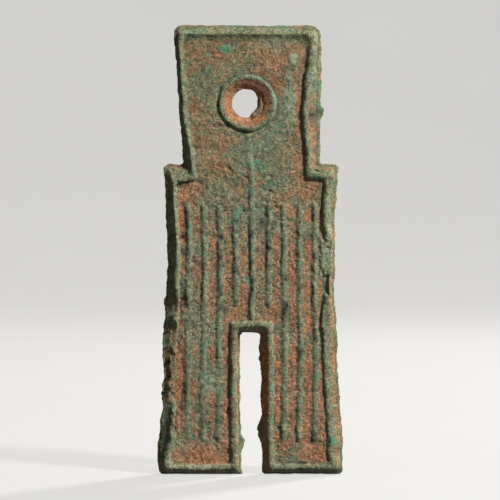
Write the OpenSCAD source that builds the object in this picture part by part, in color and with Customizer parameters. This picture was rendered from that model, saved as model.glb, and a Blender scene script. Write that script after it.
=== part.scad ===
// Spade money: a flat bronze casting with a broad head, a string hole, square shoulders and two feet.
// The casting is drawn lying down, with its length along Y and its front towards +Z, and then stood up.
// Sizes are in millimetres.

/* [Outline] */
// Length from the ends of the feet to the top of the head
coin_length = 57.75; // [52:0.25:64]
// Width across the top of the head
head_width = 18.8; // [17:0.1:21]
// Width of the head where it meets the shoulders
neck_width = 17.5; // [15.5:0.1:19]
// Length of the head above the shoulders
head_length = 17.85; // [16:0.05:20]
// Width across the shoulders
shoulder_width = 22.6; // [21.5:0.1:26]
// Width at the narrowest part of the body
waist_width = 21.3; // [20:0.1:22.5]
// Width across the feet
foot_width = 24; // [22.5:0.1:27]
// Length of the legs
leg_length = 18.1; // [12:0.1:22]
// Gap between the legs at the parting line
leg_gap = 2.7; // [2:0.1:4]
// Height of the waist, as a share of the height of the shoulders
waist_share = 0.69; // [0.5:0.01:0.8]

/* [Section] */
// Thickness of the sunk field
web_thickness = 1.5; // [1.1:0.1:2.4]
// Height of the border rim above the field
rim_height = 0.6; // [0.4:0.05:0.9]
// How far the crest of the rim lies inside the parting line
edge_slope = 0.9; // [0.6:0.05:1.1]
// How far it lies inside the parting line on top of the shoulders
shoulder_slope = 1.6; // [0.8:0.05:1.9]
// How far it lies inside the parting line at the neck
neck_slope = 1.3; // [0.8:0.05:1.6]
// Width of the inner slope of the rim
rim_inside = 0.6; // [0.4:0.05:0.8]

/* [Casting] */
// Thickness of the skin of metal at the parting line
flash_thickness = 0.3; // [0.15:0.05:0.5]
// How far the back half of the mould lay to the right of the front half
mould_shift = 0.3; // [0:0.05:0.3]

/* [Hole] */
// Diameter of the string hole at its narrowest
hole_diameter = 3.8; // [3:0.1:4.6]
// Height of the straight wall in the string hole
throat_height = 0.7; // [0.5:0.05:1]
// Diameter of the mouth of the hole, between the crests of the collars
mouth_diameter = 6.4; // [5.8:0.1:6.8]
// Outer diameter of the collar
collar_diameter = 7.9; // [7.5:0.1:9]
// Height of the collar above the field
collar_height = 0.5; // [0.35:0.05:0.7]
// Distance of the hole below the top of the head
hole_drop = 10.1; // [8:0.1:12]

/* [Raised lines] */
// Ridges on each half of the front
ridge_count = 4; // [2:1:4]
// Width of each raised line
ridge_width = 0.8; // [0.5:0.05:1]
// Distance of the first ridge from the centre line
ridge_start = 2.15; // [1.8:0.05:2.3]
// Distance between neighbouring ridges
ridge_pitch = 2; // [1.6:0.05:2.05]
// Distance of the tops of the ridges below the shoulders
ridge_drop = 4.7; // [3.6:0.1:8]
// Height of the lower ends of the ridges above the ends of the feet
ridge_rise = 4; // [2.5:0.1:8]

/* [Earth] */
// Depth of the earth left in the fields
earth_depth = 0.12; // [0.05:0.01:0.25]

/* [Hidden] */
$fn = 64;
half_web = web_thickness / 2;
half_flash = flash_thickness / 2;
rim_top = half_web + rim_height;
shoulder_height = coin_length - head_length;
waist_height = shoulder_height * waist_share;
hole_height = coin_length - hole_drop;
side_bend = 1.2;
side_steps = 8;
corner_steps = 3;

// Corner radii from the top of the leg gap round to the top of the head
crotch_radius = 0.5;
inner_foot_radius = 0.4;
outer_foot_radius = 0.6;
shoulder_radius = 0.6;
neck_radius = 0.5;
head_radius = 1;

// Shares of the slope at the edge of the flash, at the field, on the brow of the rim and outside the metal
seam_share = 0.2;
field_share = 0.5;
brow_share = 0.8;
blank_share = -0.25;
outside_share = -0.5;

// Section of the rim from its outer foot over the crest to its inner foot: share of the slope, inset, height
rim_section = [
    [field_share, 0, half_web],
    [brow_share, 0, half_web + 0.75 * rim_height],
    [1, 0, half_web + 1.25 * rim_height],
    [1, 0.5 * rim_inside, half_web + 0.75 * rim_height],
    [1, 0.85 * rim_inside, half_web + 0.35 * rim_height],
    [1, rim_inside, half_web]
];

ridge_radius = ridge_width / 2;
ridge_top = shoulder_height - ridge_drop;
ridge_taper = 0.8;
// The first ridge ends above the rim of the leg gap, and the others run down the legs
short_ridge_rise = leg_length + 3;

collar_radius = collar_diameter / 2;
mouth_radius = mouth_diameter / 2;
hole_radius = hole_diameter / 2;
collar_top = half_web + collar_height;
collar_brow = 0.2;
cut = 1;
draft_margin = 0.1;

bronze = [0.40, 0.45, 0.36];
verdigris = [0.36, 0.47, 0.39];
earth = [0.62, 0.42, 0.29];

function unit(v) = v / norm(v);

function reflected(path) = [for (i = [len(path) - 1:-1:0]) [-path[i].x, path[i].y]];

// Half-width of the body at height y, drawn in at the waist between the foot and the shoulder
function side_at(y, low, foot, waist, shoulder, shelf) =
    y < waist_height
        ? waist + (foot - waist) * pow((waist_height - y) / (waist_height - low), side_bend)
        : waist + (shoulder - waist) * pow((y - waist_height) / (shelf - waist_height), side_bend);

// Sharp corners of the outline, anticlockwise from the top of the leg gap, at a share of the edge's slope
function outline_keys(share) =
    let (
        gap = leg_gap / 2 + share * edge_slope,
        crotch = leg_length + share * edge_slope,
        low = share * edge_slope,
        foot = foot_width / 2 - share * edge_slope,
        waist = waist_width / 2 - share * edge_slope,
        shoulder = shoulder_width / 2 - share * edge_slope,
        shelf = shoulder_height - share * shoulder_slope,
        neck = neck_width / 2 - share * neck_slope,
        top = head_width / 2 - share * edge_slope,
        high = coin_length - share * edge_slope,
        side = [
            for (i = [1:side_steps - 1])
                let (y = low + (shelf - low) * i / side_steps)
                    [side_at(y, low, foot, waist, shoulder, shelf), y]
        ],
        right = concat(
            [[gap, crotch], [gap, low], [foot, low]],
            side,
            [[shoulder, shelf], [neck, shelf], [top, high]]
        )
    )
    concat(right, reflected(right));

right_radii = concat(
    [crotch_radius, inner_foot_radius, outer_foot_radius],
    [for (i = [1:side_steps - 1]) 0],
    [shoulder_radius, neck_radius, head_radius]
);
corner_radii = concat(right_radii, [for (i = [len(right_radii) - 1:-1:0]) right_radii[i]]);

// The same path moved inwards by a distance
function inset(path, distance) =
    let (n = len(path))
    [
        for (i = [0:n - 1])
            let (
                u = unit(path[i] - path[(i + n - 1) % n]),
                v = unit(path[(i + 1) % n] - path[i]),
                p = [-u.y, u.x],
                q = [-v.y, v.x]
            )
            path[i] + distance * (p + q) / (1 + p * q)
    ];

// Points of one corner, rounded between its neighbours
function corner(before, at, after, radius) =
    radius == 0
        ? [at]
        : let (
            u = unit(before - at),
            v = unit(after - at),
            half = acos(u * v) / 2,
            centre = at + unit(u + v) * radius / sin(half),
            first = unit(at + u * radius / tan(half) - centre),
            last = unit(at + v * radius / tan(half) - centre)
        )
        [for (k = [0:corner_steps]) centre + radius * unit(first * (corner_steps - k) + last * k)];

function rounded(path) =
    let (n = len(path))
    [
        for (i = [0:n - 1])
            each corner(path[(i + n - 1) % n], path[i], path[(i + 1) % n], corner_radii[i])
    ];

function outline(share, distance = 0) = rounded(inset(outline_keys(share), distance));

// Triangles between two neighbouring loops of n points, the first of which starts at point a and the other at b
function wall(a, b, n) = [
    for (i = [0:n - 1])
        let (next = (i + 1) % n)
            each [[a + i, b + i, b + next], [a + i, b + next, a + next]]
];

function stacked(loops, heights) = [
    for (k = [0:len(loops) - 1])
        for (p = loops[k])
            [p.x, p.y, heights[k]]
];

// Ring whose section runs through all the loops and back to the first
module ring(loops, heights) {
    n = len(loops[0]);
    turns = len(loops);
    polyhedron(
        stacked(loops, heights),
        [for (k = [0:turns - 1]) each wall(k * n, ((k + 1) % turns) * n, n)]
    );
}

module at_hole() {
    translate([0, hole_height, 0]) children();
}

// Places what is drawn for the front on the front half, which lies a little to the left
module on_front() {
    translate([-mould_shift / 2, 0, 0]) children();
}

// Places the same on the back half, turned over
module on_back() {
    translate([mould_shift / 2, 0, 0]) mirror([0, 0, 1]) children();
}

// Stands the casting on its feet with its front towards -Y
module stood_up() {
    rotate([90, 0, 0]) children();
}

// Radius of the funnel at a height, between the throat and the mouth
function funnel_radius(z) =
    hole_radius + (mouth_radius - hole_radius) * (z - throat_height / 2) / (collar_top - throat_height / 2);

// Straight throat and the funnel above it
module hole_cut() {
    rotate_extrude()
        polygon([
            [0, -cut],
            [hole_radius, -cut],
            [hole_radius, throat_height / 2],
            [funnel_radius(collar_top + cut), collar_top + cut],
            [0, collar_top + cut]
        ]);
}

// Share of the slope that the drafted edge has reached at a height
function draft_share(z) =
    seam_share + (field_share - seam_share) * (z - half_flash) / (half_web - half_flash);

// Everything outside the drafted edge of one half
module draft_cut() {
    low = half_flash - draft_margin;
    high = half_web + draft_margin;
    ring(
        [outline(outside_share), outline(outside_share), outline(draft_share(high)), outline(draft_share(low))],
        [low, high, high, low]
    );
}

module half_casting() {
    difference() {
        translate([0, 0, half_flash])
            linear_extrude(half_web - half_flash)
                polygon(outline(blank_share));
        draft_cut();
    }
}

// Rounded rim with its crest worn flat
module border_rim() {
    difference() {
        ring(
            [for (s = rim_section) outline(s[0], s[1])],
            [for (s = rim_section) s[2]]
        );
        translate([-coin_length, -coin_length, rim_top]) cube([2 * coin_length, 3 * coin_length, rim_height]);
    }
}

// Rounded ring whose inside carries on the slope of the funnel
module hole_collar() {
    at_hole()
        rotate_extrude()
            polygon([
                [funnel_radius(half_web), half_web],
                [collar_radius, half_web],
                [collar_radius - 0.5 * collar_brow, half_web + 0.6 * collar_height],
                [collar_radius - 1.5 * collar_brow, collar_top],
                [mouth_radius, collar_top]
            ]);
}

// Half of the outline of a raised line with pointed ends, for turning about its length
function spindle(length) = [
    [0, 0],
    [ridge_radius, ridge_taper],
    [ridge_radius, length - ridge_taper],
    [0, length]
];

module above_field(length) {
    intersection() {
        rotate([-90, 0, 0]) rotate_extrude() children();
        translate([-cut, -cut, 0]) cube([2 * cut, length + 2 * cut, cut]);
    }
}

module ridge(length) {
    above_field(length) polygon(spindle(length));
}

function ridge_low(i) = i == 1 ? short_ridge_rise : ridge_rise;
function ridge_x(i) = ridge_start + (i - 1) * ridge_pitch;

module at_ridge(side, i) {
    translate([side * ridge_x(i), ridge_low(i), 0]) children();
}

line_low = leg_length + edge_slope + rim_inside;

// Raised line from the rim over the leg gap up to the collar
module centre_line() {
    difference() {
        translate([0, line_low, half_web])
            above_field(hole_height)
                square([ridge_radius, hole_height - line_low]);
        at_hole() translate([mould_shift / 2, 0, 0]) cylinder(r = collar_radius, h = 2 * rim_top);
        at_hole() translate([-mould_shift / 2, 0, 0]) cylinder(r = collar_radius, h = 2 * rim_top);
    }
}

// Sunk field inside the rim, without the hole and its collar
module field(shift) {
    difference() {
        polygon(outline(1, rim_inside));
        translate([shift, hole_height]) circle(r = collar_radius);
        translate([-ridge_radius, line_low - cut]) square([ridge_width, hole_height - line_low + cut]);
    }
}

module burial_earth(shift) {
    translate([0, 0, half_web])
        linear_extrude(earth_depth)
            difference() {
                field(shift);
                children();
            }
}

module front_half() {
    color(bronze)
        stood_up()
            difference() {
                on_front() half_casting();
                at_hole() hole_cut();
            }
}

module back_half() {
    color(bronze)
        stood_up()
            difference() {
                on_back() half_casting();
                at_hole() mirror([0, 0, 1]) hole_cut();
            }
}

module parting_flash() {
    color(bronze)
        stood_up()
            translate([0, 0, -half_flash])
                linear_extrude(flash_thickness)
                    difference() {
                        polygon(outline(0));
                        translate([0, hole_height]) circle(r = hole_radius);
                    }
}

module front_border_rim() {
    color(verdigris) stood_up() on_front() border_rim();
}

module back_border_rim() {
    color(verdigris) stood_up() on_back() border_rim();
}

module front_hole_collar() {
    color(verdigris) stood_up() hole_collar();
}

module back_hole_collar() {
    color(verdigris) stood_up() mirror([0, 0, 1]) hole_collar();
}

module front_centre_line() {
    color(verdigris) stood_up() on_front() centre_line();
}

module back_centre_line() {
    color(verdigris) stood_up() on_back() centre_line();
}

module front_ridge(side, i) {
    color(verdigris)
        stood_up()
            on_front()
                translate([0, 0, half_web])
                    at_ridge(side, i) ridge(ridge_top - ridge_low(i));
}

module ridge_beds() {
    for (side = [-1, 1], i = [1:ridge_count]) {
        at_ridge(side, i) {
            polygon(spindle(ridge_top - ridge_low(i)));
            mirror([1, 0]) polygon(spindle(ridge_top - ridge_low(i)));
        }
    }
}

module front_burial_earth() {
    color(earth) stood_up() on_front() burial_earth(mould_shift / 2) ridge_beds();
}

module back_burial_earth() {
    color(earth) stood_up() on_back() burial_earth(-mould_shift / 2);
}

front_half();
back_half();
parting_flash();
front_border_rim();
back_border_rim();
front_hole_collar();
back_hole_collar();
front_centre_line();
back_centre_line();
for (i = [1:ridge_count]) {
    front_ridge(-1, i);
    front_ridge(1, i);
}
front_burial_earth();
back_burial_earth();
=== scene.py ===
# Looks of a cast bronze spade coin with green patina and burial earth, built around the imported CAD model.
# Each CAD node is read as relief, worn and weathered, and stands in the scene as a closed mesh of its own.
# Shapes are worked out in millimetres, with heights measured from the parting plane of the casting.

import math

import bpy
import numpy as np
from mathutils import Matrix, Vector
from mathutils.bvhtree import BVHTree
from mathutils.geometry import delaunay_2d_cdt


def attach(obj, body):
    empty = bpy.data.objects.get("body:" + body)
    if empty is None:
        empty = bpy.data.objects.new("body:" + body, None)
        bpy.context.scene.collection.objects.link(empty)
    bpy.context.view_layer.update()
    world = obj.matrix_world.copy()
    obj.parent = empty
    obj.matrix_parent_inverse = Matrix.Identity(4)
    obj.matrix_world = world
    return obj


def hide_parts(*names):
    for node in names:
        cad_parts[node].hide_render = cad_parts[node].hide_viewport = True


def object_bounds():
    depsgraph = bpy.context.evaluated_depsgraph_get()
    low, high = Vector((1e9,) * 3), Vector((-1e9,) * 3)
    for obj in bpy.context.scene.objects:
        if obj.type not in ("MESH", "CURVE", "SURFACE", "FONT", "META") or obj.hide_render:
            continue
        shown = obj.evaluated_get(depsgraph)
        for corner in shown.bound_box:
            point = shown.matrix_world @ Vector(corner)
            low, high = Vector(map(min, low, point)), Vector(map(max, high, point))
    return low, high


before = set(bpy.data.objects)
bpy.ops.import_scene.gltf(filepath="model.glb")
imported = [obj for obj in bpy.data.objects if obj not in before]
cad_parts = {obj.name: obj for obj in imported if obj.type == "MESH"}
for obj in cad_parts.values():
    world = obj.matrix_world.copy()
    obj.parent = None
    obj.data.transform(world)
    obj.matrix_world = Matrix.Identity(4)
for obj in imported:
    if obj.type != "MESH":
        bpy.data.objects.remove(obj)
cad_low, cad_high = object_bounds()

MM = 0.001
GRID_STEP = 0.1
GRID_MARGIN = 0.6
CAST_FROM = 5.0

# Heights above the parting plane
FIELD_HEIGHT = 0.75
BED_HEIGHT = 0.55
BED_COVER = 0.1
THROAT_HEIGHT = 0.35
SEAM_HEIGHT = 0.15

# The hole and where this coin's opening lies off its middle
HOLE_AT = (0.0, 47.65)
HOLE_RADIUS = 1.9
HOLE_SHIFT = (-0.36, 0.0)
THROAT_SHIFT = -0.24

# How far corners are rounded, and the rubbed stretches of the rim more than the rest
CORNER_REACH = 0.11
ROLL_GROWTH = 0.15
ROLL_REACH = 0.15
RUBBED_REACH = 0.27
SLOPE_CELLS = 4

# Depth of the roughness, and how much of it is left at the edge of a face
LUMP_DEPTH = 0.035
PIT_DEPTH = 0.15
PIT_COUNT = 150
PIT_CELLS = 8
EDGE_CALM = 0.3

# How far from the middle each face reads the noise, so that the two differ
NOISE_APART = 9.0

FRONT = 1
BACK = -1

FRONT_NODES = ["front_half", "front_border_rim", "front_hole_collar", "front_centre_line"]
FRONT_NODES += [f"front_{side}_ridge_{i}" for side in ("left", "right") for i in range(1, 5)]
FRONT_NODES += ["front_burial_earth"]
BACK_NODES = ["back_half", "back_border_rim", "back_hole_collar", "back_centre_line", "back_burial_earth"]


# Repeatable noise

def lattice(ix, iy, iz, seed):
    """A repeatable number from 0 to 1 for each whole-number point."""
    n = (ix * 374761393 + iy * 668265263 + iz * 1440662683 + seed * 974634777) & 0xFFFFFFFF
    n = ((n ^ (n >> 13)) * 1274126177) & 0xFFFFFFFF
    n = ((n ^ (n >> 15)) * 2246822519) & 0xFFFFFFFF
    n = n ^ (n >> 16)
    return (n & 0xFFFFFF) / 0xFFFFFF


def noise(points, size, seed):
    """Smooth noise from -1 to 1 with lumps about size across."""
    scaled = points / size
    whole = np.floor(scaled).astype(np.int64)
    part = scaled - whole
    part = part * part * part * (part * (part * 6 - 15) + 10)
    total = np.zeros(len(points))
    for dx in (0, 1):
        wx = part[:, 0] if dx else 1 - part[:, 0]
        for dy in (0, 1):
            wy = part[:, 1] if dy else 1 - part[:, 1]
            for dz in (0, 1):
                wz = part[:, 2] if dz else 1 - part[:, 2]
                value = lattice(whole[:, 0] + dx, whole[:, 1] + dy, whole[:, 2] + dz, seed)
                total += wx * wy * wz * value
    return total * 2 - 1


TURN = np.array([[0.60, -0.64, 0.48], [0.80, 0.48, -0.36], [0.0, 0.60, 0.80]])


def fractal(points, size, seed, octaves=3, fall=0.5):
    """Noise with finer noise on top of it, each layer turned so that its lattice doesn't show."""
    total = np.zeros(len(points))
    weight = 1.0
    for k in range(octaves):
        points = points @ TURN
        total += weight * noise(points, size / 2**k, seed + 17 * k)
        weight *= fall
    return total


def ramp(value, low, high):
    """0 below low, 1 above high and smooth between them."""
    t = np.clip((value - low) / (high - low), 0, 1)
    return t * t * (3 - 2 * t)


def band(value, low, rise, fall, high):
    """0 outside low and high, and 1 between rise and fall."""
    return ramp(value, low, rise) * (1 - ramp(value, fall, high))


def blurred(grid, reach):
    """The grid smoothed over about reach millimetres."""
    sigma = reach / GRID_STEP
    half = max(1, int(math.ceil(3 * sigma)))
    weights = np.exp(-0.5 * (np.arange(-half, half + 1) / sigma) ** 2)
    weights /= weights.sum()
    for axis in (0, 1):
        pad = [(half, half) if a == axis else (0, 0) for a in (0, 1)]
        padded = np.pad(grid, pad, mode="edge")
        total = np.zeros_like(grid)
        for k, w in enumerate(weights):
            cut = [slice(None), slice(None)]
            cut[axis] = slice(k, k + grid.shape[axis])
            total += w * padded[tuple(cut)]
        grid = total
    return grid


def dilated(grid, reach):
    """The highest value of the grid within reach of each point."""
    span = int(reach / GRID_STEP)
    padded = np.pad(grid, span, mode="edge")
    best = np.full_like(grid, -np.inf)
    for di in range(-span, span + 1):
        for dj in range(-span, span + 1):
            if math.hypot(di, dj) * GRID_STEP <= reach:
                i, j = span + di, span + dj
                best = np.maximum(best, padded[i:i + grid.shape[0], j:j + grid.shape[1]])
    return best


# Grid over the face of the coin

low_x, low_z = cad_low.x / MM - GRID_MARGIN, cad_low.z / MM - GRID_MARGIN
count_x = int(math.ceil((cad_high.x / MM + GRID_MARGIN - low_x) / GRID_STEP))
count_z = int(math.ceil((cad_high.z / MM + GRID_MARGIN - low_z) / GRID_STEP))
line_x = low_x + GRID_STEP * np.arange(count_x + 1)
line_z = low_z + GRID_STEP * np.arange(count_z + 1)
grid_x, grid_z = np.meshgrid(line_x, line_z, indexing="ij")
flat_x, flat_z = grid_x.ravel(), grid_z.ravel()
hole_away = np.hypot(grid_x - HOLE_AT[0], grid_z - HOLE_AT[1])

BOX_LOW = np.array(cad_low) / MM
BOX_HIGH = np.array(cad_high) / MM
BOX_EASE = np.array([0.12, 0.06, 0.12])


def kept_inside(points):
    """The points, eased back wherever they would pass the CAD model's box."""
    over = np.maximum(points - (BOX_HIGH - BOX_EASE), 0)
    under = np.maximum((BOX_LOW + BOX_EASE) - points, 0)
    held = points - over + BOX_EASE * np.tanh(over / BOX_EASE)
    return held + under - BOX_EASE * np.tanh(under / BOX_EASE)


def corner_ids(i, j):
    """Numbers of the grid points at columns i and rows j."""
    return i * (count_z + 1) + j


def relief_tree(names):
    """The named CAD nodes as one surface to cast rays at, with the owner of each face."""
    points, faces, owner = [], [], []
    for k, name in enumerate(names):
        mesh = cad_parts[name].data
        start = len(points)
        points += [v.co / MM for v in mesh.vertices]
        faces += [[start + v for v in p.vertices] for p in mesh.polygons]
        owner += [k] * len(mesh.polygons)
    return BVHTree.FromPolygons(points, faces), owner


def cast_relief(names, side):
    """Height of the CAD relief at the grid's points, and which node each of its cells belongs to."""
    tree, owner = relief_tree(names)
    way = Vector((0, side, 0))
    start_y = -side * CAST_FROM
    height = np.full((count_x + 1, count_z + 1), np.nan)
    for i, x in enumerate(line_x):
        for j, z in enumerate(line_z):
            hit = tree.ray_cast(Vector((x, start_y, z)), way)
            if hit[0] is not None:
                height[i, j] = -side * hit[0].y
    label = np.full((count_x, count_z), -1)
    for i in range(count_x):
        x = line_x[i] + GRID_STEP / 2
        for j in range(count_z):
            hit = tree.ray_cast(Vector((x, start_y, line_z[j] + GRID_STEP / 2)), way)
            if hit[0] is not None:
                label[i, j] = owner[hit[2]]
    return height, label


def flat_loops(name, y):
    """Corner loops, in x and z, of a node's flat face at y."""
    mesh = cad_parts[name].data
    where = {}
    number = {}
    for v in mesh.vertices:
        key = tuple(round(c / MM, 4) for c in v.co)
        number[v.index] = where.setdefault(key, len(where))
    spots = list(where)
    edges = set()
    for p in mesh.polygons:
        corners = [number[v] for v in p.vertices]
        if all(abs(spots[c][1] - y) < 1e-3 for c in corners):
            edges |= {(a, b) for a, b in zip(corners, corners[1:] + corners[:1])}
    rim = {a: b for a, b in edges if (b, a) not in edges}
    loops = []
    while rim:
        first, at = rim.popitem()
        loop = [first]
        while at != first:
            loop.append(at)
            at = rim.pop(at)
        loops.append(np.array([(spots[k][0], spots[k][2]) for k in loop]))
    return sorted(loops, key=len, reverse=True)


def nearest_on(loops, spots):
    """The nearest point of the loops to each spot."""
    best = np.full(len(spots), np.inf)
    found = np.array(spots, float)
    for loop in loops:
        for a, b in zip(loop, np.roll(loop, -1, axis=0)):
            span = b - a
            share = np.clip(((spots - a) @ span) / (span @ span), 0, 1)
            near = a + share[:, None] * span
            gap = np.linalg.norm(spots - near, axis=1)
            closer = gap < best
            best[closer] = gap[closer]
            found[closer] = near[closer]
    return found


# Wear that this coin shows: place, half-widths and how far it raises or lowers the metal

FRONT_MARKS = [
    (-10.6, 12.6, 1.5, 4.2, -0.75),
    (-10.6, 18.0, 0.9, 1.4, -0.45),
    (-10.4, 21.6, 0.8, 1.0, -0.40),
    (-11.0, 6.0, 0.7, 0.8, -0.3),
    (6.9, 31.2, 1.0, 1.0, 0.22),
    (8.6, 39.0, 0.45, 0.3, -0.35),
    (-9.9, 38.9, 0.4, 0.3, -0.25),
    (-9.2, 56.6, 0.6, 0.8, -0.45),
    (-2.4, 54.8, 1.0, 0.5, 0.08),
    (6.1, 53.6, 0.5, 0.9, 0.10),
    (5.5, 48.2, 0.8, 3.2, 0.09),
    (-5.5, 12.5, 1.6, 1.8, 0.10),
    (-3.8, 44.6, 1.2, 0.3, -0.12),
    (10.9, 4.3, 0.4, 0.7, 0.12),
]

# Parts of the rim that lie flat at a level: place, half-widths and level
PLANED = [
    (9.4, 28.1, 0.95, 2.6, 1.06),
    (9.3, 24.3, 0.5, 1.2, 0.82),
    (9.7, 20.5, 0.5, 1.6, 1.15),
]

# Places where the crust is lumpy: place, half-widths and how much stronger
LUMPY_PATCHES = [
    (-4.2, 45.0, 1.6, 2.6, 1.2),
    (-4.0, 41.0, 3.0, 2.4, 1.3),
    (-9.0, 37.2, 1.8, 1.6, 1.2),
    (2.8, 52.6, 4.0, 1.2, 0.6),
]

# Places with less earth, where the patina shows: place, half-widths and share
BARE_PATCHES = [
    (-5.7, 14.5, 2.4, 7.0, 0.30),
    (-9.0, 4.4, 1.5, 2.0, 0.30),
    (-9.3, 14.0, 0.9, 7.0, 0.12),
    (-1.2, 33.5, 3.2, 4.0, 0.25),
    (3.3, 42.0, 2.2, 2.6, 0.32),
    (5.4, 48.2, 1.2, 3.8, 0.22),
    (0.5, 39.8, 7.5, 2.6, 0.10),
    (-5.0, 50.5, 1.6, 3.0, 0.2),
    (-4.5, 41.4, 2.8, 2.8, 0.16),
    (9.6, 27.8, 1.2, 3.0, 0.3),
    (4.2, 18.5, 1.0, 5.0, 0.18),
    (6.5, 9.0, 4.0, 7.0, 0.06),
    (0.6, 27.0, 2.0, 6.0, 0.18),
]

# Places with more earth
EARTHY_PATCHES = [
    (-8.9, 33.0, 1.2, 6.0, 0.25),
    (6.8, 47.5, 0.7, 7.0, 0.20),
    (3.0, 53.5, 4.5, 1.6, 0.16),
    (-5.5, 48.0, 2.0, 5.0, 0.05),
    (-7.0, 47.5, 0.8, 6.0, 0.10),
    (7.9, 30.0, 0.8, 6.0, 0.2),
    (2.2, 27.0, 1.6, 5.0, 0.15),
    (-5.0, 2.6, 4.0, 1.5, 0.2),
    (-3.3, 9.0, 0.7, 8.0, 0.25),
    (8.4, 37.6, 2.6, 0.8, 0.2),
]

# Patches of pale mineral: place, half-widths and strength
PALE_PATCHES = [
    (-5.6, 11.8, 1.5, 2.2, 0.62),
    (8.7, 55.6, 1.0, 1.2, 0.5),
    (9.4, 28.1, 1.0, 2.7, 0.75),
    (8.5, 51.0, 0.9, 3.6, 0.42),
    (10.2, 34.6, 0.6, 3.6, 0.32),
    (5.45, 48.2, 0.9, 3.3, 0.8),
    (6.1, 53.6, 0.5, 0.9, 0.9),
    (0.4, 51.4, 1.4, 0.5, 0.3),
    (-6.0, 0.9, 4.0, 0.5, 0.3),
    (-9.0, 4.0, 0.5, 1.5, 0.35),
    (-10.2, 2.6, 1.2, 2.2, 0.36),
]

# Dark stains: place, half-widths and strength
DARK_PATCHES = [
    # Partly painted shade: the strip right of the head, dark brown and shaded by lumps of flash.
    (9.05, 45.5, 0.8, 5.5, 0.12),
    (-4.8, 51.7, 1.5, 1.4, 0.36),
    (-6.9, 54.2, 1.1, 1.0, 0.30),
    (-0.9, 42.0, 0.9, 1.1, 0.28),
    (2.6, 40.8, 2.2, 2.2, 0.26),
    # Partly painted shade: the under side of the top rim, partly its darker patina.
    (-2.0, 56.3, 6.5, 0.8, 0.18),
    (-0.2, 30.0, 3.5, 5.0, 0.12),
    (-5.3, 4.3, 1.6, 1.1, 0.44),
    (-6.1, 7.2, 0.6, 2.2, 0.26),
]

# Patches of green crust: place, half-widths and strength
GREEN_PATCHES = [
    (-2.7, 54.9, 0.9, 0.55, 0.7),
    (-2.3, 54.3, 0.45, 0.6, 0.4),
    (-4.6, 54.0, 0.4, 0.35, 0.45),
    (-3.2, 52.6, 0.5, 0.6, 0.35),
    (6.1, 53.6, 0.55, 0.9, 0.5),
    (5.5, 48.2, 0.95, 3.4, 0.42),
    (3.2, 41.6, 1.8, 2.2, 0.22),
    (-2.2, 41.0, 1.2, 1.0, 0.35),
    (-5.9, 11.6, 1.6, 2.6, 0.10),
    (-1.8, 33.0, 1.0, 1.6, 0.3),
    (10.9, 4.3, 0.5, 0.7, 0.6),
    (-9.4, 4.8, 1.4, 1.2, 0.14),
    (-11.2, 17.6, 0.6, 1.6, 0.4),
]

# Lumps of flash that stick out of the parting line: place, reach along the edge and how far out
FLASH_LUMPS = [
    (9.1, 46.7, 0.9, 0.50),
    (9.2, 49.6, 2.4, 0.22),
    (9.3, 53.5, 1.6, 0.10),
    (-11.8, 3.4, 1.7, 0.36),
    (-1.3, 4.0, 0.9, 0.46),
    (1.3, 5.4, 1.4, 0.40),
    (1.2, 15.5, 1.2, 0.20),
    (-11.2, 22.8, 1.5, 0.28),
    (-1.6, 0.1, 0.5, 0.3),
]


def wander(spots):
    """How far the hand-cut mould lets each spot stray, in x and z."""
    points = np.column_stack([spots[:, 0], np.zeros(len(spots)), spots[:, 1]])
    stray_x = 0.16 * noise(points, 6.0, 3) + 0.08 * noise(points, 2.2, 4) + 0.035 * noise(points, 0.7, 5)
    stray_z = 0.12 * noise(points, 6.0, 6) + 0.08 * noise(points, 2.2, 7) + 0.035 * noise(points, 0.7, 8)
    lean = -0.40 * ramp(spots[:, 1], 41, 58)
    return np.column_stack([stray_x + lean, stray_z])


def mark_field(marks, x, z):
    """Sum of the marks at each spot."""
    total = np.zeros_like(x)
    for mark_x, mark_z, wide, tall, lift in marks:
        away = ((x - mark_x) / wide) ** 2 + ((z - mark_z) / tall) ** 2
        total += lift * np.exp(-(away**1.5))
    return total


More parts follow.
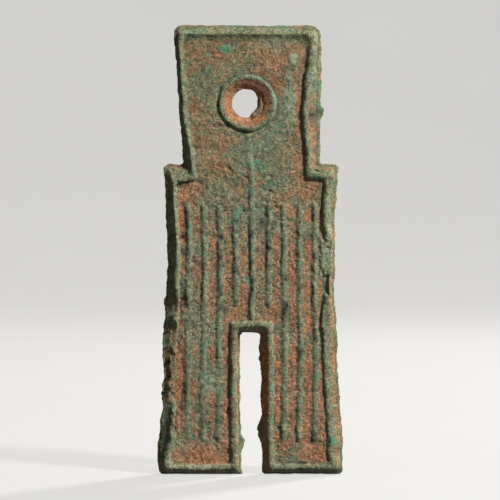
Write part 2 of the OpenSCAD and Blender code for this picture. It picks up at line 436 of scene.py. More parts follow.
class Face:
    """One face of the coin: its relief, its weathered points and the fields that colour it."""

    def __init__(self, side, names, marks):
        self.side = side
        self.names = names
        self.marks = marks
        height, self.label = cast_relief(names, side)
        self.inside = self.label >= 0
        self.edge = self.edge_points()
        self.spots = np.column_stack([flat_x, flat_z])
        seam = flat_loops(names[0], -side * SEAM_HEIGHT)
        self.spots[self.edge] = nearest_on(seam, self.spots[self.edge])
        self.noise_at = np.column_stack([flat_x, np.full(grid_x.size, side * NOISE_APART), flat_z])
        self.ragged = fractal(self.noise_at, 0.8, 23, 3, 0.6).reshape(grid_x.shape)
        self.lines = self.share_of("ridge") + self.share_of("centre_line")
        self.soft = self.worn(height)
        self.normal = self.slope_normals()
        earth = self.share_of("burial_earth") * (1 - ramp(self.soft, 0.88, 1.05))
        self.earth = blurred(earth, 0.12).ravel()
        self.pits = self.scattered_pits()
        self.points = self.weathered_points()
        self.shading = self.smooth_normals()
        self.add_zones()
        # The soil, pale and dark fields hold some painted light and shade on walls, besides earth, mineral
        # and stains.
        self.fields = {
            "soil": self.soil_and_lit_side_field(),
            "rust": self.rust_field(),
            "green": self.green_field(),
            "pale": self.pale_field(),
            "dark": self.dark_field(),
        }

    def edge_points(self):
        """Numbers of the grid points where the face ends."""
        touch_in = np.zeros((count_x + 1, count_z + 1), bool)
        touch_out = np.zeros((count_x + 1, count_z + 1), bool)
        for di in (0, 1):
            for dj in (0, 1):
                touch_in[di:count_x + di, dj:count_z + dj] |= self.inside
                touch_out[di:count_x + di, dj:count_z + dj] |= ~self.inside
        return np.flatnonzero((touch_in & touch_out).ravel())

    def share_of(self, word):
        """1 at grid points in cells of nodes whose name has the word, 0 elsewhere."""
        wanted = np.array([word in name for name in self.names] + [False])
        cells = wanted[self.label].astype(float)
        total = np.zeros((count_x + 1, count_z + 1))
        for di in (0, 1):
            for dj in (0, 1):
                total[di:count_x + di, dj:count_z + dj] += cells
        return total / 4

    def patches(self, marks):
        """The listed patches of the front at each point. The back has none."""
        if self.side == BACK:
            return np.zeros(grid_x.size)
        return mark_field(marks, flat_x, flat_z)

    def cells_of(self, name):
        return self.label == self.names.index(name)

    def quads(self, cells):
        """Corner numbers of the cells, turned to face outwards."""
        i, j = np.nonzero(cells)
        ring = [corner_ids(i, j), corner_ids(i + 1, j), corner_ids(i + 1, j + 1), corner_ids(i, j + 1)]
        if self.side == BACK:
            ring.reverse()
        return np.column_stack(ring)

    def worn(self, height):
        """The CAD relief with its corners rounded, its raised parts lowered and this coin's marks in it."""
        beside = np.where(hole_away < HOLE_RADIUS + 0.5, THROAT_HEIGHT, SEAM_HEIGHT)
        filled = np.where(np.isnan(height), beside, height)
        rim = np.where(self.share_of("border_rim") > 0, filled, SEAM_HEIGHT)
        rolled = blurred(dilated(rim, ROLL_GROWTH), ROLL_REACH)
        soft = np.maximum(blurred(filled, CORNER_REACH), rolled)
        head_left = ramp(-grid_x, 6.5, 7.5) * ramp(grid_z, 38, 41)
        top = ramp(grid_z, 54, 55.5)
        leg_right = ramp(grid_x, 9.0, 9.7) * (1 - ramp(grid_z, 19, 25))
        rubbed = np.maximum(np.maximum(head_left, top), leg_right)
        soft = soft + rubbed * (blurred(soft, RUBBED_REACH) - soft)
        if self.side == FRONT:
            soft = self.sloped(soft)
        soft = soft - np.maximum(soft - FIELD_HEIGHT, 0) * self.loss()
        soft = soft + mark_field(self.marks, grid_x, grid_z) * ramp(soft, 0.3, 0.8)
        if self.side == FRONT:
            soft = self.planed(soft)
        covered = self.share_of("") - self.share_of("half") > 0.4
        return np.where(covered, np.maximum(soft, BED_HEIGHT + BED_COVER), soft)

    def sloped(self, soft):
        """The rim worn to a slope: its outer side left of the head and body, its under side at the top."""
        edge = np.clip(self.share_of("border_rim") + self.share_of("half"), 0, 1)
        left = blurred(edge, 0.2) * ramp(-grid_x, 6.5, 7.5) * ramp(grid_z, 24, 30)
        top = ramp(grid_z, 53.0, 54.5) * (1 - ramp(np.abs(grid_x), 7.4, 8.2))
        for where, axis in ((left, 0), (top, 1)):
            pulled = sum(np.roll(soft, k, axis=axis) for k in range(1, SLOPE_CELLS + 1)) / SLOPE_CELLS
            soft = soft + where * (np.minimum(soft, pulled) - soft)
        return soft

    def loss(self):
        """Share of the raised metal that is worn off, more on the lines and on the hole's collar."""
        swell = noise(self.noise_at, 2.6, 21).reshape(grid_x.shape)
        lines = blurred(self.lines, 0.2)
        uneven = 0.12 * lines * np.clip(1 + 2.4 * swell, -0.5, 3)
        faint = 0.4 * blurred(self.share_of("centre_line"), 0.2) * ramp(grid_z, 36, 40)
        collar = blurred(self.share_of("hole_collar"), 0.15) * (0.28 + 0.72 * ramp(hole_away, 3.45, 3.9))
        leg_left = ramp(-grid_x, 1.5, 3.0) * (1 - ramp(grid_z, 16, 27)) * (self.side == FRONT)
        sunk = faint + collar + 0.10 * leg_left * lines
        return np.minimum(0.10 + 0.16 * swell + uneven + sunk, 1)

    def planed(self, soft):
        """The relief with the flat breaks of the rim in it."""
        for x, z, wide, tall, level in PLANED:
            away = np.maximum(np.abs(grid_x - x) / wide, np.abs(grid_z - z) / tall)
            share = 1 - ramp(away + 0.22 * self.ragged, 0.6, 1.15)
            soft = soft + (level - soft) * share * ramp(soft, 0.3, 0.7)
        return soft

    def slope_normals(self):
        """Normals of the worn relief at the grid's points, before crust and pits."""
        slope_x, slope_z = np.gradient(self.soft, GRID_STEP)
        length = np.sqrt(1 + slope_x**2 + slope_z**2)
        parts = (-slope_x / length, 1 / length, -slope_z / length)
        return np.column_stack([part.ravel() for part in parts])

    def scattered_pits(self):
        """Small round pits at repeatable random places, from 0 to 1."""
        chance = np.random.default_rng(70 + self.side)
        total = np.zeros_like(grid_x)
        for _ in range(PIT_COUNT):
            x = chance.uniform(line_x[0], line_x[-1])
            z = chance.uniform(line_z[0], line_z[-1])
            wide = chance.uniform(0.14, 0.34)
            depth = chance.uniform(0.2, 1.0)
            i = int((x - line_x[0]) / GRID_STEP)
            j = int((z - line_z[0]) / GRID_STEP)
            near_x = slice(max(0, i - PIT_CELLS), i + PIT_CELLS + 1)
            near_z = slice(max(0, j - PIT_CELLS), j + PIT_CELLS + 1)
            near = (near_x, near_z)
            away = np.hypot(grid_x[near] - x, grid_z[near] - z) / wide
            total[near] = np.maximum(total[near], depth * np.exp(-(away**2)))
        return total.ravel()

    def crust(self):
        """How far grain, crust, lumps and pits push each point along its normal."""
        at = self.noise_at
        grain = fractal(at, 0.4, 31, 3, 0.8) * (1 + 0.7 * noise(at, 3.0, 35))
        crust = fractal(at, 1.1, 41, 4, 0.6) * (1 + self.patches(LUMPY_PATCHES))
        lumps = fractal(at, 0.75, 47, 3, 0.7) * ramp(self.soft.ravel(), 0.9, 1.1)
        crust_depth = 0.036 - 0.014 * ramp(flat_z, 36, 42)
        grain_depth = (0.018 + 0.020 * self.earth) * (1 - 0.34 * ramp(flat_z, 38, 42))
        push = crust_depth * crust + grain_depth * grain + LUMP_DEPTH * lumps - PIT_DEPTH * self.pits
        push[self.edge] *= EDGE_CALM
        return push

    def drift(self):
        """How far the front's relief lies to the right of the CAD model's."""
        x, z = flat_x, flat_z
        body = 0.28 * (1 - ramp(z, 37, 41)) - 0.26 * ramp(z, 41, 45)
        head_right = (0.9 * ramp(z, 46, 57) - 0.35 * ramp(z, 40, 43)) * ramp(x, 5, 8)
        head_left = 0.22 * ramp(z, 40, 43) * ramp(-x, 5, 8)
        eroded_leg = 0.42 * band(z, 2, 5, 21, 27) * ramp(-x, 8.8, 10.6) * (1 + 0.5 * self.ragged.ravel())
        from_edge = x - 10.65 - 0.06 * (22 - z)
        leg_rim = ramp(from_edge, -2.6, -1.2) * (1 - 0.85 * ramp(from_edge, -1.0, 0.0))
        broad_leg = 0.7 * leg_rim * band(z, 0.8, 2.4, 18, 24)
        waist_rim = ramp(x, 8.4, 9.6) * (1 - 0.85 * ramp(x, 10.1, 10.9))
        broad_waist = 0.45 * waist_rim * band(z, 30, 32, 37, 38.5)
        return body + head_right - head_left + eroded_leg - broad_leg - broad_waist

    def drop(self):
        """How far the front's relief lies below the CAD model's."""
        top = 0.36 * ramp(flat_z, 49, 55)
        shoulder = np.exp(-(((flat_z - 38.6) / 1.3) ** 2)) * ramp(-flat_x, 7.0, 9.0)
        return top + 0.6 * shoulder * ramp(self.soft.ravel(), 0.7, 1.1)

    def weathered_points(self):
        """Every grid point at its weathered place."""
        push = self.crust()
        stray = wander(self.spots)
        inner = ramp(self.soft.ravel(), 0.2, 0.8) * (self.side == FRONT)
        sway = 0.13 * noise(self.noise_at, 3.4, 27) * blurred(self.lines, 0.35).ravel()
        throat = THROAT_SHIFT * (1 - ramp(hole_away.ravel(), HOLE_RADIUS, HOLE_RADIUS + 1))
        x = self.spots[:, 0] + stray[:, 0] + self.drift() * inner + sway + throat + push * self.normal[:, 0]
        y = -self.side * (self.soft.ravel() + push * self.normal[:, 1])
        z = self.spots[:, 1] + stray[:, 1] - self.drop() * inner + push * self.normal[:, 2]
        return kept_inside(np.column_stack([x, y, z]))

    def smooth_normals(self):
        """Normals at the grid's points, the same for every piece that meets there."""
        quads = self.quads(self.inside)
        corners = self.points[quads]
        facing_key_lamp = np.cross(corners[:, 2] - corners[:, 0], corners[:, 3] - corners[:, 1])
        total = np.zeros_like(self.points)
        for k in range(4):
            np.add.at(total, quads[:, k], facing_key_lamp)
        length = np.linalg.norm(total, axis=1)[:, None]
        return total / np.maximum(length, 1e-9)

    def add_zones(self):
        """Noise and zones that the colour fields share."""
        self.patchy = fractal(self.noise_at, 2.4, 61, 4, 0.6)
        self.fine = fractal(self.noise_at, 0.6, 65, 3, 0.7)
        self.funnel = 1 - ramp(hole_away.ravel(), 2.9, 3.25)
        self.collar = self.share_of("hole_collar").ravel()
        self.strip = blurred(self.share_of("half"), 0.15).ravel()
        # Walls that face up and right, toward the key lamp: the fields below give them earth, partly as
        # painted light, and more dark specks.
        self.facing_key_lamp = ramp(self.normal[:, 0] + self.normal[:, 2], 0.1, 0.5)
        self.eroded = np.clip(-mark_field(self.marks, flat_x, flat_z), 0, 1)
        # The leg gap's wall that faces left, away from the key lamp: the fields below lighten it as painted
        # light.
        left_facing = ramp(-self.normal[:, 0], 0.2, 0.6)
        self.gap_wall_painted_light = left_facing * band(flat_x, 0.8, 1.2, 2.4, 2.8) * (1 - ramp(flat_z, 17, 19))

    def soil_and_lit_side_field(self):
        """Share of earth, thickest in the sunk fields and the funnel; the extra on ledges facing up and
        right, toward the key lamp, is partly painted light, and that on the leg gap's wall is painted
        light.
        """
        body = 1 - ramp(flat_z, 33, 42)
        legs = 1 - ramp(flat_z, 14, 26)
        soil = self.earth * (0.47 - 0.03 * body + 0.12 * legs) + 0.9 * self.funnel
        soil = soil + (0.12 + 0.23 * self.earth) * self.patchy + 0.16 * self.fine
        if self.side == FRONT:
            soil = soil + self.earth * (self.patches(EARTHY_PATCHES) - self.patches(BARE_PATCHES))
        else:
            soil = soil + self.earth * (0.2 * fractal(self.noise_at, 7.0, 67, 2, 0.5) - 0.12)
        walls = ramp(1 - self.normal[:, 1], 0.2, 0.45) * (1 - self.earth)
        grey = np.maximum(ramp(flat_z, 47, 51), band(flat_z, 27, 31, 37, 38.5))
        # Partly painted light: earth on strips and walls only where they face up and right, toward the key
        # lamp, for the lit look of those sides.
        soil = soil + (0.45 - 0.36 * grey) * self.strip * self.facing_key_lamp
        soil = soil + (0.34 - 0.32 * grey) * walls * self.facing_key_lamp
        # Painted light: more earth on the leg gap's wall lifts a wall that the key lamp leaves in shade;
        # the eroded places get real earth.
        soil = soil + self.gap_wall_painted_light * (0.7 + 0.3 * self.patchy) + 0.6 * self.eroded
        return np.clip(soil, 0, 1) * (1 - np.clip(self.patches(GREEN_PATCHES), 0, 0.8))

    def rust_field(self):
        """How red the earth is: most on the legs and in the funnel."""
        rust = 1 - 0.75 * ramp(flat_z, 31, 39) + 0.55 * self.funnel
        return np.clip(rust + 2 * self.patches(EARTHY_PATCHES) + 0.3 * self.patchy, 0, 1)

    def green_field(self):
        """Share of green crust, with more along the lines and on the collar."""
        green = 0.06 + 0.34 * fractal(self.noise_at, 1.8, 71, 4, 0.65) + 0.06 * (1 - self.earth)
        if self.side == FRONT:
            fringe = blurred(self.lines, 0.25).ravel()
            green = green + self.patches(GREEN_PATCHES) + 0.12 * fringe * (0.6 + self.patchy)
        return np.clip(green + 0.14 * self.collar, 0, 1)

    def pale_field(self):
        """Share of pale mineral, with pale on the leg gap's wall as painted light."""
        pale = 0.42 * ramp(fractal(self.noise_at, 1.3, 91, 4, 0.7), 0.5, 1.2) * (1 - 0.8 * self.earth)
        pale = pale + self.patches(PALE_PATCHES) * (0.6 + 0.5 * self.fine)
        # Painted light: pale on the leg gap's wall lightens a wall in the key lamp's shade.
        return np.clip(pale + 0.3 * self.gap_wall_painted_light * ramp(self.patchy, 0.2, 0.8), 0, 1)

    def dark_field(self):
        """Share of dark stain: in hollows and pits, on lines and collar, and where metal is eroded; on the
        front's left-facing walls it is partly painted shade, and the leg gap's wall is kept lighter as
        painted light.
        """
        at = self.noise_at
        cavity = self.soft - blurred(self.soft, 0.45)
        deep = np.clip(-cavity.ravel() * 4.5, 0, 1) * ramp(self.soft.ravel(), 0.5, 0.72)
        dark = deep + 0.30 * fractal(at, 1.0, 81, 3, 0.6) - 0.10 + 0.3 * self.pits
        dark = dark + 0.2 * fractal(at, 4.5, 85, 2, 0.5) * self.earth
        specks = ramp(fractal(at, 0.8, 83, 3, 0.7), 0.1, 0.7)
        dark = dark + self.strip * (0.16 + self.facing_key_lamp * (0.14 + 0.2 * specks))
        central = np.exp(-((flat_x / 5) ** 2)) * ramp(flat_z, 18, 24)
        on_lines = 0.32 + 0.16 * self.patchy + 0.16 * self.fine + 0.2 * central
        dark = dark + self.lines.ravel() * on_lines * (1 - 0.7 * ramp(flat_z, 34, 39))
        dark = dark + 0.3 * self.eroded * (0.5 + self.fine) + 0.16 * self.collar * (1 - self.funnel)
        if self.side == FRONT:
            # Painted shade, partly the walls' dark patina: more dark on walls that face left, away from the
            # key lamp.
            left_wall_shade = ramp(-self.normal[:, 0], 0.4, 0.75) * ramp(-flat_x, 7.5, 8.5)
            dark = dark + self.patches(DARK_PATCHES) + 0.3 * left_wall_shade * (1 - self.earth)
        # Painted light: less dark on the leg gap's wall.
        return np.clip(dark - 0.4 * self.gap_wall_painted_light, 0, 1)


def border(quads):
    """Edges of the quads that no other quad shares, in the direction of their quad."""
    starts = quads.ravel()
    ends = np.roll(quads, -1, axis=1).ravel()
    size = max(starts.max(), ends.max()) + 1
    keys = starts * size + ends
    lone = ~np.isin(keys, ends * size + starts)
    return np.column_stack([starts[lone], ends[lone]])


class Solid:
    """Points and faces of one closed piece, collected from the grid of a face."""

    def __init__(self, face):
        self.face = face
        self.points = []
        self.source = []
        self.polygons = []
        self.known = {}

    def point(self, number, level):
        """The piece's own number for a grid point, on the relief or at a flat level below it."""
        key = (number, level)
        if key not in self.known:
            place = self.face.points[number].copy()
            if level is not None:
                place[1] = -self.face.side * level
            self.known[key] = len(self.points)
            self.points.append(place)
            self.source.append(number)
        return self.known[key]

    def top(self, quads):
        for quad in quads.tolist():
            self.polygons.append([self.point(n, None) for n in quad])

    def skirt(self, edges, level):
        """Wall from the relief down to a level."""
        for a, b in edges.tolist():
            self.polygons.append([
                self.point(b, None), self.point(a, None), self.point(a, level), self.point(b, level),
            ])

    def fill(self, edges, cells, level, outwards):
        """Flat face at a level under the cells that the edges enclose."""
        numbers = np.unique(edges)
        place = {n: k for k, n in enumerate(numbers.tolist())}
        columns, rows = np.divmod(numbers, count_z + 1)
        flat = [Vector(spot) for spot in np.column_stack([columns, rows]).astype(float).tolist()]
        lines = [(place[a], place[b]) for a, b in edges.tolist()]
        made = delaunay_2d_cdt(flat, lines, [], 1, 1e-6)
        back_to = [int(numbers[o[0]]) for o in made[3]]
        turned = outwards == (self.face.side == FRONT)
        for triangle in made[2]:
            middle = sum((made[0][k] for k in triangle), Vector((0, 0))) / 3
            if cells[int(middle.x), int(middle.y)]:
                ring = [self.point(back_to[k], level) for k in triangle]
                self.polygons.append(ring if turned else ring[::-1])


def slot_of(node):
    return "burial_earth" if "earth" in node else "patinated_bronze"


def finish_piece(node, points, polygons, fields, materials, shading=None):
    """Makes the Blender object and hands it to the frame; shading holds normals for its first faces."""
    name = node + "_worn"
    slot = slot_of(node)
    mesh = bpy.data.meshes.new(name)
    mesh.from_pydata((np.array(points) * MM).tolist(), [], polygons)
    mesh.update()
    for title, values in fields.items():
        layer = mesh.attributes.new(title, "FLOAT", "POINT")
        layer.data.foreach_set("value", np.asarray(values, np.float32))
    mesh.materials.append(materials[slot])
    mesh.polygons.foreach_set("use_smooth", np.ones(len(mesh.polygons), bool))
    if shading is not None:
        corners = [p.loop_total for p in mesh.polygons]
        normals = np.repeat([p.normal[:] for p in mesh.polygons], corners, axis=0)
        normals[:len(shading)] = shading
        mesh.normals_split_custom_set(normals.tolist())
    piece = bpy.data.objects.new(name, mesh)
    bpy.context.scene.collection.objects.link(piece)
    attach(piece, "root")
    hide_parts(node)


def add_face_pieces(face, materials):
    """Cuts the face into one closed piece for each of its nodes."""
    half = face.names[0]
    outer = border(face.quads(face.inside))
    outside = set(map(tuple, outer.tolist()))
    for name in face.names:
        solid = Solid(face)
        cells = face.cells_of(name)
        quads = face.quads(cells)
        edges = border(quads)
        solid.top(quads)
        if name == half:
            is_outer = np.array([tuple(e) in outside for e in edges.tolist()])
            solid.skirt(edges[~is_outer], BED_HEIGHT)
            solid.fill(edges[~is_outer], face.inside & ~cells, BED_HEIGHT, True)
            solid.skirt(edges[is_outer], 0.0)
            solid.fill(outer, face.inside, 0.0, False)
        else:
            solid.skirt(edges, BED_HEIGHT)
            solid.fill(edges, cells, BED_HEIGHT, False)
        source = np.array(solid.source)
        fields = {title: values[source] for title, values in face.fields.items()}
        shading = face.shading[quads.ravel()]
        finish_piece(name, solid.points, solid.polygons, fields, materials, shading)


# Flash round the parting line and in the hole

FLASH_STEP = 0.11
FLASH_REACH = 0.2
FLASH_SEED = 101
FLASH_ROUGHNESS = 0.03

# Section of the flash: share of its reach and level
FLASH_SECTION = [
    (-1.0, -0.19),
    (-0.2, -0.16),
    (0.0, -0.12),
    (1.0, 0.0),
    (0.0, 0.12),
    (-0.2, 0.16),
    (-1.0, 0.19),
]

# Section of the skin in the hole: distance outside the hole, or None at its uneven opening, and level
HOLE_SECTION = [(0.4, -0.55), (None, -0.14), (None, 0.14), (0.4, 0.55)]


def resampled(loop):
    """Points along a closed loop, evenly about a flash step apart."""
    closed = np.vstack([loop, loop[:1]])
    run = np.concatenate([[0], np.cumsum(np.linalg.norm(np.diff(closed, axis=0), axis=1))])
    count = int(run[-1] / FLASH_STEP)
    at = np.linspace(0, run[-1], count, endpoint=False)
    return np.column_stack([np.interp(at, run, closed[:, k]) for k in (0, 1)])


def is_anticlockwise(loop):
    following = np.roll(loop, -1, axis=0)
    return np.sum(loop[:, 0] * following[:, 1] - following[:, 0] * loop[:, 1]) > 0


def band_faces(count, wide):
    """Faces of a closed band with count sections of wide points each."""
    faces = []
    for i in range(count):
        j = (i + 1) % count
        for k in range(wide):
            m = (k + 1) % wide
            faces.append([i * wide + k, i * wide + m, j * wide + m, j * wide + k])
    return faces


def flash_round(loop):
    """Ragged band along the outline, thin at its edge."""
    spots = resampled(loop)
    if not is_anticlockwise(spots):
        spots = spots[::-1]
    along = np.roll(spots, -3, axis=0) - np.roll(spots, 3, axis=0)
    along /= np.linalg.norm(along, axis=1)[:, None]
    out = np.column_stack([along[:, 1], -along[:, 0]])
    at = np.column_stack([spots[:, 0], np.full(len(spots), float(FLASH_SEED)), spots[:, 1]])
    ragged = FLASH_REACH * (0.15 + 0.55 * fractal(at, 1.2, FLASH_SEED, 4, 0.7))
    for x, z, wide, lift in FLASH_LUMPS:
        away = np.hypot(spots[:, 0] - x, spots[:, 1] - z) / wide
        ragged = ragged + lift * np.exp(-(away**3)) * (1 + 0.35 * noise(at, 0.5, FLASH_SEED + 5))
    spots = spots + wander(spots)
    drift = 0.04 * noise(at, 0.9, FLASH_SEED + 9)
    rings = []
    for share, level in FLASH_SECTION:
        depth = np.where(share > 0, ragged, share + 0.6 * ragged * (share > -0.1))
        place = spots + out * depth[:, None]
        rings.append(np.column_stack([place[:, 0], level + drift, place[:, 1]]))
    return np.stack(rings, axis=1).reshape(-1, 3), band_faces(len(spots), len(rings))


def flash_in_hole(loop):
    """A band inside the hole, which leaves an uneven opening."""
    spots = resampled(loop[::-1] if is_anticlockwise(loop) else loop)
    centre = np.array(HOLE_AT)
    moved = centre + wander(centre[None])[0] + np.array(HOLE_SHIFT)
    ray = spots - centre
    angle = np.sort(np.arctan2(ray[:, 1], ray[:, 0]))
    across, up = np.cos(angle), np.sin(angle)
    at = np.column_stack([HOLE_RADIUS * across, np.full(len(angle), 5.0), HOLE_RADIUS * up])
    uneven = 0.08 + 0.16 * across + 0.22 * noise(at, 1.3, 161) + 0.07 * noise(at, 0.5, 162)
    rings = []
    for out, level in HOLE_SECTION:
        radius = HOLE_RADIUS + (-uneven if out is None else np.full(len(angle), out))
        place = [moved[0] + radius * across, np.full(len(angle), level), moved[1] + radius * up]
        rings.append(np.column_stack(place))
    faces = [[b, a, d, c] for a, b, c, d in band_faces(len(angle), len(rings))]
    return np.stack(rings, axis=1).reshape(-1, 3), faces


def add_flash(materials):
    """The parting flash as one piece: the band round the outline and the one in the hole."""
    outline, hole = flat_loops("parting_flash", -SEAM_HEIGHT)[:2]
    if np.ptp(hole[:, 1]) > np.ptp(outline[:, 1]):
        outline, hole = hole, outline
    outer, polygons = flash_round(outline)
    inner, inner_faces = flash_in_hole(hole)
    polygons += [[v + len(outer) for v in face] for face in inner_faces]
    points = np.vstack([outer, inner])
    rough = fractal(points, 0.5, 121, 3, 0.7)
    shake = np.column_stack([rough, 0 * rough, noise(points, 0.4, 125)])
    points = kept_inside(points + FLASH_ROUGHNESS * shake)
    patchy = fractal(points, 2.0, 131, 3, 0.6)
    within = np.arange(len(points)) >= len(outer)
    fields = {
        "soil": np.clip(0.34 + 0.5 * within + 0.4 * patchy, 0, 1),
        "rust": np.clip(0.35 + 0.5 * patchy, 0, 1),
        "green": np.clip(0.4 - 0.4 * within + 0.4 * fractal(points, 1.2, 141, 3, 0.6), 0, 1),
        "pale": np.clip(0.4 * noise(points, 1.1, 145), 0, 1),
        "dark": np.clip(0.12 + 0.35 * fractal(points, 1.6, 151, 3, 0.6), 0, 1),
    }
    finish_piece("parting_flash", points, polygons, fields, materials)


# Materials

def srgb(r, g, b):
    """A colour written in 0 to 255, as the shader wants it."""
    def one(c):
        c /= 255
        return c / 12.92 if c <= 0.04045 else ((c + 0.055) / 1.055) ** 2.4
    return (one(r), one(g), one(b), 1.0)


OLIVE_DARK = srgb(50, 56, 44)
OLIVE_DEEP = srgb(92, 98, 76)
OLIVE = srgb(121, 122, 93)
OLIVE_PALE = srgb(164, 164, 134)
EARTH_DARK = srgb(90, 68, 48)
EARTH = srgb(153, 110, 80)
EARTH_LIGHT = srgb(200, 147, 110)
CLAY_DARK = srgb(76, 62, 44)
CLAY = srgb(126, 103, 74)
CLAY_LIGHT = srgb(165, 131, 96)
MALACHITE = srgb(78, 112, 90)
TURQUOISE = srgb(104, 146, 120)
EMERALD = srgb(80, 134, 100)
CREVICE = srgb(22, 27, 23)
BLUE_BLACK = srgb(50, 58, 56)
SLATE = srgb(78, 88, 82)
PALE_GREEN = srgb(138, 158, 128)
PALE_GREY = srgb(178, 176, 152)

BUMP_HEIGHT = 0.06

# Numbers of the sockets that a colour mix uses
MIX_FACTOR, MIX_A, MIX_B = 0, 6, 7
MIX_RESULT = 2


class Nodes:
    """Short ways to add shader nodes to one material."""

    def __init__(self, material):
        self.material = material
        material.use_nodes = True
        self.tree = material.node_tree
        self.shader = self.tree.nodes["Principled BSDF"]
        self.coords = self.tree.nodes.new("ShaderNodeTexCoord").outputs["Object"]

    def link(self, a, b):
        self.tree.links.new(a, b)

    def put(self, value, socket):
        """Links a socket's value, or sets a plain one."""
        if hasattr(value, "links"):
            self.link(value, socket)
        else:
            socket.default_value = value

    def field(self, title):
        node = self.tree.nodes.new("ShaderNodeAttribute")
        node.attribute_name = title
        return node.outputs["Fac"]

    def grain(self, size, detail, rough, offset=0.0):
        """Noise from 0 to 1 with grains about size millimetres across."""
        node = self.tree.nodes.new("ShaderNodeTexNoise")
        node.inputs["Scale"].default_value = 1 / (size * MM)
        node.inputs["Detail"].default_value = detail
        node.inputs["Roughness"].default_value = rough
        shift = self.tree.nodes.new("ShaderNodeVectorMath")
        shift.operation = "ADD"
        shift.inputs[1].default_value = (offset, offset * 0.7, offset * 1.3)
        self.link(self.coords, shift.inputs[0])
        self.link(shift.outputs[0], node.inputs["Vector"])
        return node.outputs["Fac"]

    def ramp(self, value, stops):
        node = self.tree.nodes.new("ShaderNodeValToRGB")
        bar = node.color_ramp
        bar.elements[0].position, bar.elements[0].color = stops[0]
        bar.elements[1].position, bar.elements[1].color = stops[-1]
        for place, colour in stops[1:-1]:
            bar.elements.new(place).color = colour
        self.link(value, node.inputs["Fac"])
        return node.outputs["Color"]

    def sum(self, a, scale, b, shift=0.0):
        """a times scale, plus b, plus shift."""
        first = self.tree.nodes.new("ShaderNodeMath")
        first.operation = "MULTIPLY_ADD"
        first.inputs[1].default_value = scale
        first.inputs[2].default_value = shift
        self.link(a, first.inputs[0])
        second = self.tree.nodes.new("ShaderNodeMath")
        second.operation = "ADD"
        self.link(first.outputs[0], second.inputs[0])
        self.put(b, second.inputs[1])
        return second.outputs[0]

    def varied(self, value, *grains):
        """The value, moved up and down by each grain times its weight."""
        for grain, weight in grains:
            value = self.sum(grain, weight, value, -weight / 2)
        return value

    def step(self, value, low, high):
        """0 below low, 1 above high and smooth between them."""
        node = self.tree.nodes.new("ShaderNodeMapRange")
        node.interpolation_type = "SMOOTHSTEP"
        node.inputs["From Min"].default_value = low
        node.inputs["From Max"].default_value = high
        self.link(value, node.inputs["Value"])
        return node.outputs["Result"]

    def mix(self, factor, a, b):
        """Colour a, or b where the factor is 1."""
        node = self.tree.nodes.new("ShaderNodeMix")
        node.data_type = "RGBA"
        for value, socket in ((factor, MIX_FACTOR), (a, MIX_A), (b, MIX_B)):
            self.put(value, node.inputs[socket])
        return node.outputs[MIX_RESULT]


def weathered(name):
    """Patina, soil and crust mixed by the fields that each point carries, with painted light and shade on
    some walls.
    """
    n = Nodes(bpy.data.materials.new(name))
    coarse = n.grain(1.7, detail=6, rough=0.65)
    fine = n.grain(0.5, detail=5, rough=0.7, offset=0.3)
    speck = n.grain(0.36, detail=5, rough=0.65, offset=0.7)
    dust = n.grain(0.19, detail=3, rough=0.6, offset=1.9)
    fleck = n.grain(0.42, detail=3, rough=0.6, offset=1.1)
    mottle = n.varied(0.5, (fine, 0.7), (coarse, 0.4), (speck, 0.5), (dust, 1.0))
    patina = n.ramp(mottle, [(0.2, OLIVE_DARK), (0.4, OLIVE_DEEP), (0.54, OLIVE), (0.76, OLIVE_PALE)])
    rust = n.ramp(mottle, [(0.24, EARTH_DARK), (0.48, EARTH), (0.74, EARTH_LIGHT)])
    clay = n.ramp(mottle, [(0.24, CLAY_DARK), (0.48, CLAY), (0.74, CLAY_LIGHT)])
    soil = n.mix(n.field("rust"), clay, rust)
    green = n.ramp(n.varied(coarse, (speck, 0.6)), [(0.3, MALACHITE), (0.65, TURQUOISE)])
    emerald_share = n.step(n.varied(n.field("green"), (coarse, 0.5), (fleck, 0.9)), 0.5, 0.95)
    green = n.mix(emerald_share, green, EMERALD)
    black = n.ramp(n.field("dark"), [(0.3, SLATE), (0.55, BLUE_BLACK), (0.85, CREVICE)])
    # The soil, pale and dark fields also carry painted light and shade on some walls.
    green_share = n.step(n.varied(n.field("green"), (fleck, 1.8)), 0.2, 0.8)
    soil_and_lit_side_share = n.step(n.varied(n.field("soil"), (speck, 1.0), (dust, 0.8)), -0.02, 0.92)
    pale_share = n.step(n.varied(n.field("pale"), (speck, 1.2)), 0.1, 0.9)
    dark_share = n.step(n.varied(n.field("dark"), (speck, 1.0)), 0.15, 0.95)
    colour = n.mix(green_share, patina, green)
    colour = n.mix(soil_and_lit_side_share, colour, soil)
    colour = n.mix(pale_share, colour, n.mix(fine, PALE_GREEN, PALE_GREY))
    colour = n.mix(dark_share, colour, black)
    n.link(colour, n.shader.inputs["Base Color"])
    n.link(n.sum(soil_and_lit_side_share, 0.25, speck, 0.2), n.shader.inputs["Roughness"])
    n.shader.inputs["Specular IOR Level"].default_value = 0.15
    bump = n.tree.nodes.new("ShaderNodeBump")
    bump.inputs["Strength"].default_value = 0.7
    bump.inputs["Distance"].default_value = BUMP_HEIGHT * MM
    n.link(n.sum(dust, 1.1, speck), bump.inputs["Height"])
    n.link(bump.outputs["Normal"], n.shader.inputs["Normal"])
    return n.material


coin_materials = {slot: weathered(slot + "_weathered") for slot in ("patinated_bronze", "burial_earth")}
add_face_pieces(Face(FRONT, FRONT_NODES, FRONT_MARKS), coin_materials)
add_face_pieces(Face(BACK, BACK_NODES, []), coin_materials)
add_flash(coin_materials)


# Floor and backdrop as one pale bowl, in metres from here on

FLOOR_RADIUS = 0.6
BOWL_BEND = 0.35
BOWL_TOP = 1.1
BEND_STEPS = 12
BOWL_TURNS = 96
PAPER = srgb(204, 203, 200)
PAPER_BOUNCE = srgb(80, 79, 77)
PAPER_SHADE = 0.985


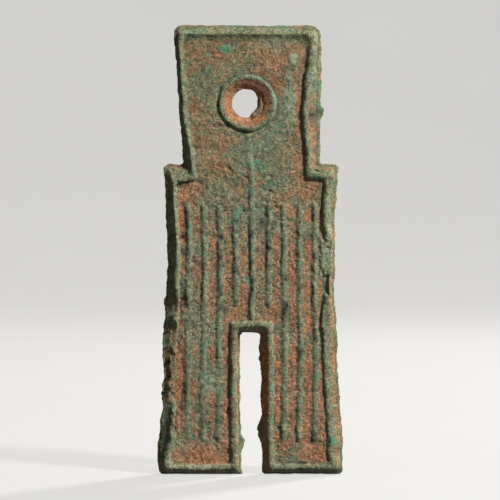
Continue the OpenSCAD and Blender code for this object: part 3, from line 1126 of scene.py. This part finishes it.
def pale_paper():
    """Paper that is seen as pale as it is, also in reflections, and sends little light back to the coin."""
    n = Nodes(bpy.data.materials.new("pale_paper"))
    cloud = n.grain(60, detail=2, rough=0.5)
    low = tuple(c * PAPER_SHADE for c in PAPER[:3]) + (1.0,)
    path = n.tree.nodes.new("ShaderNodeLightPath").outputs
    mirrored = n.sum(path["Is Glossy Ray"], 1, path["Is Transmission Ray"])
    seen = n.sum(path["Is Camera Ray"], 1, mirrored)
    glow = n.mix(seen, (0, 0, 0, 1), n.ramp(cloud, [(0.3, low), (0.7, PAPER)]))
    n.link(glow, n.shader.inputs["Emission Color"])
    n.shader.inputs["Emission Strength"].default_value = 1.0
    n.shader.inputs["Base Color"].default_value = PAPER_BOUNCE
    n.shader.inputs["Roughness"].default_value = 0.95
    return n.material


def add_stage():
    profile = [(FLOOR_RADIUS / 2, 0.0), (FLOOR_RADIUS, 0.0)]
    for k in range(1, BEND_STEPS + 1):
        a = math.radians(90 * k / BEND_STEPS)
        profile.append((FLOOR_RADIUS + BOWL_BEND * math.sin(a), BOWL_BEND * (1 - math.cos(a))))
    profile.append((FLOOR_RADIUS + BOWL_BEND, BOWL_TOP))
    points = [(0.0, 0.0, 0.0)]
    for r, z in profile:
        for t in range(BOWL_TURNS):
            a = 2 * math.pi * t / BOWL_TURNS
            points.append((r * math.cos(a), r * math.sin(a), z))
    faces = [[0, 1 + t, 1 + (t + 1) % BOWL_TURNS] for t in range(BOWL_TURNS)]
    for k in range(len(profile) - 1):
        a, b = 1 + k * BOWL_TURNS, 1 + (k + 1) * BOWL_TURNS
        for t in range(BOWL_TURNS):
            u = (t + 1) % BOWL_TURNS
            faces.append([a + t, b + t, b + u, a + u])
    mesh = bpy.data.meshes.new("studio_bowl")
    mesh.from_pydata(points, [], faces)
    mesh.update()
    mesh.polygons.foreach_set("use_smooth", np.ones(len(mesh.polygons), bool))
    mesh.materials.append(pale_paper())
    bowl = bpy.data.objects.new("studio_bowl", mesh)
    bpy.context.scene.collection.objects.link(bowl)


add_stage()


# Light

COIN_MIDDLE = (0.0, 0.0, 0.0289)
ROOM_LIGHT = 0.025


def add_lamp(name, place, size, power):
    """A round lamp that shines at the coin's middle."""
    lamp = bpy.data.lights.new(name, "AREA")
    lamp.shape = "DISK"
    lamp.size = size
    lamp.energy = power
    obj = bpy.data.objects.new(name, lamp)
    bpy.context.scene.collection.objects.link(obj)
    obj.location = place
    obj.rotation_mode = "QUATERNION"
    obj.rotation_quaternion = (Vector(COIN_MIDDLE) - Vector(place)).to_track_quat("-Z", "Y")


add_lamp("key_lamp", (0.37, -0.27, 0.41), size=0.09, power=6.0)
add_lamp("back_lamp", (0.29, 0.34, 0.42), size=0.10, power=5.4)

world = bpy.data.worlds.new("soft_room")
world.use_nodes = True
room = world.node_tree.nodes["Background"]
room.inputs["Color"].default_value = (1, 1, 1, 1)
room.inputs["Strength"].default_value = ROOM_LIGHT
bpy.context.scene.world = world


# Camera straight in front of the coin

FRAME_WIDTH = 0.0643
EYE_X = -0.00006
EYE_Z = 0.0288

lens = bpy.data.cameras.new("camera")
lens.lens = 135
lens.sensor_width = 36
lens.clip_start = 0.01
camera = bpy.data.objects.new("camera", lens)
bpy.context.scene.collection.objects.link(camera)
camera.location = (EYE_X, -FRAME_WIDTH * lens.lens / lens.sensor_width, EYE_Z)
camera.rotation_euler = (math.radians(90), 0, 0)
bpy.context.scene.camera = camera
bpy.context.scene.view_settings.view_transform = "Standard"
